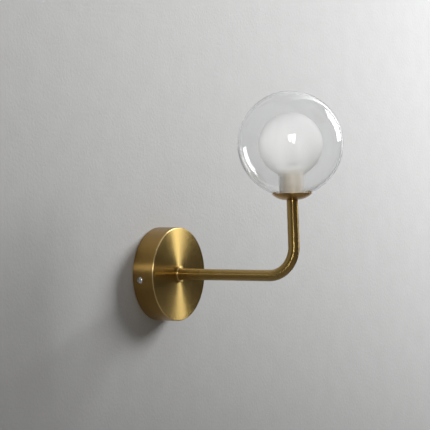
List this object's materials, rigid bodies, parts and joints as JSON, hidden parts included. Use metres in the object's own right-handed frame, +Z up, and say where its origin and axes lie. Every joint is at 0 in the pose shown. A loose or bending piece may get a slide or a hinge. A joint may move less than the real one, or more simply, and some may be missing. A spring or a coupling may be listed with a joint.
{
  "type": "globe wall sconce",
  "caption": "Wall sconce: round brass canopy, level arm bent up into a short stem, and a clear glass globe over a smaller frosted globe with a capsule bulb.",
  "frame": {"origin": "middle of the canopy's back, in the wall's plane, at the centre of the circle through the two wall screw holes", "axes": "+Y into the wall, +Z up, so the arm reaches out along -Y; +X to the right as seen from in front"},
  "size_m": [0.11, 0.219, 0.2422],
  "materials": {
    "brushed_brass": "antique brass, brushed in circles, clear lacquer",
    "brushed_brass_tube": "antique brass, brushed round the tube, clear lacquer",
    "bare_brass": "drawn brass, unlacquered",
    "bright_steel": "bright nickel plating",
    "zinc_steel": "zinc-plated steel",
    "tinned_copper": "tinned copper",
    "nickel_strip": "nickel-plated strip and wire",
    "white_polyamide": "natural white polyamide",
    "beige_plastic": "beige moulded thermoset",
    "cream_ceramic": "unglazed cream steatite",
    "live_insulation": "brown silicone insulation",
    "neutral_insulation": "blue silicone insulation",
    "earth_insulation": "green and yellow insulation",
    "clear_silicone": "translucent silicone",
    "clear_glass": "clear blown glass",
    "frosted_glass": "satin frosted blown glass",
    "bulb_glass": "clear hard glass",
    "tungsten": "dark tungsten coil"
  },
  "bodies": {
    "fixture": {"wall_bracket": "zinc_steel", "earth_screw": "zinc_steel", "earth_ring_terminal": "tinned_copper", "earth_lead": "earth_insulation", "terminal_block_housing": "white_polyamide", "terminal_inserts": "bare_brass", "terminal_screws": "zinc_steel", "terminal_fixing_screws": "zinc_steel", "canopy_shell": "brushed_brass", "canopy_screw_left": "bright_steel", "canopy_screw_right": "bright_steel", "arm_collar": "brushed_brass", "arm_nipple": "zinc_steel", "arm_lock_washer": "zinc_steel", "arm_nut": "zinc_steel", "cable_bush": "white_polyamide", "arm_tube": "brushed_brass_tube", "cup_nipple": "zinc_steel", "glass_cup": "brushed_brass", "cup_nut": "zinc_steel", "lampholder_skirt": "beige_plastic", "lampholder_body": "cream_ceramic", "lampholder_contacts": "nickel_strip", "lampholder_screws": "zinc_steel", "lead_live": "live_insulation", "lead_neutral": "neutral_insulation"},
    "seal": {"glass_gasket": "clear_silicone"},
    "shade": {"outer_globe": "clear_glass", "glass_neck": "frosted_glass", "frosted_globe_lower": "frosted_glass", "frosted_globe_upper": "frosted_glass"},
    "bulb": {"bulb_envelope": "bulb_glass", "bulb_filament": "tungsten", "bulb_pins": "nickel_strip"}
  },
  "joints": [
    {"name": "shade_turn", "type": "hinge", "parent": "fixture", "child": "seal", "pos_m": [0, -0.16606, 0.08563], "axis": [0, 0.0401, 0.9992], "range_deg": [0, 720]},
    {"name": "shade_rise", "type": "slide", "parent": "seal", "child": "shade", "axis": [0, 0.0401, 0.9992], "range_m": [0, 0.0064]},
    {"name": "bulb_pull", "type": "slide", "parent": "fixture", "child": "bulb", "axis": [0, 0.0401, 0.9992], "range_m": [0, 0.016]}
  ],
  "couplings": [
    {"joint": "shade_rise", "follows": "shade_turn", "m_per_rad": 0.00050929}
  ]
}
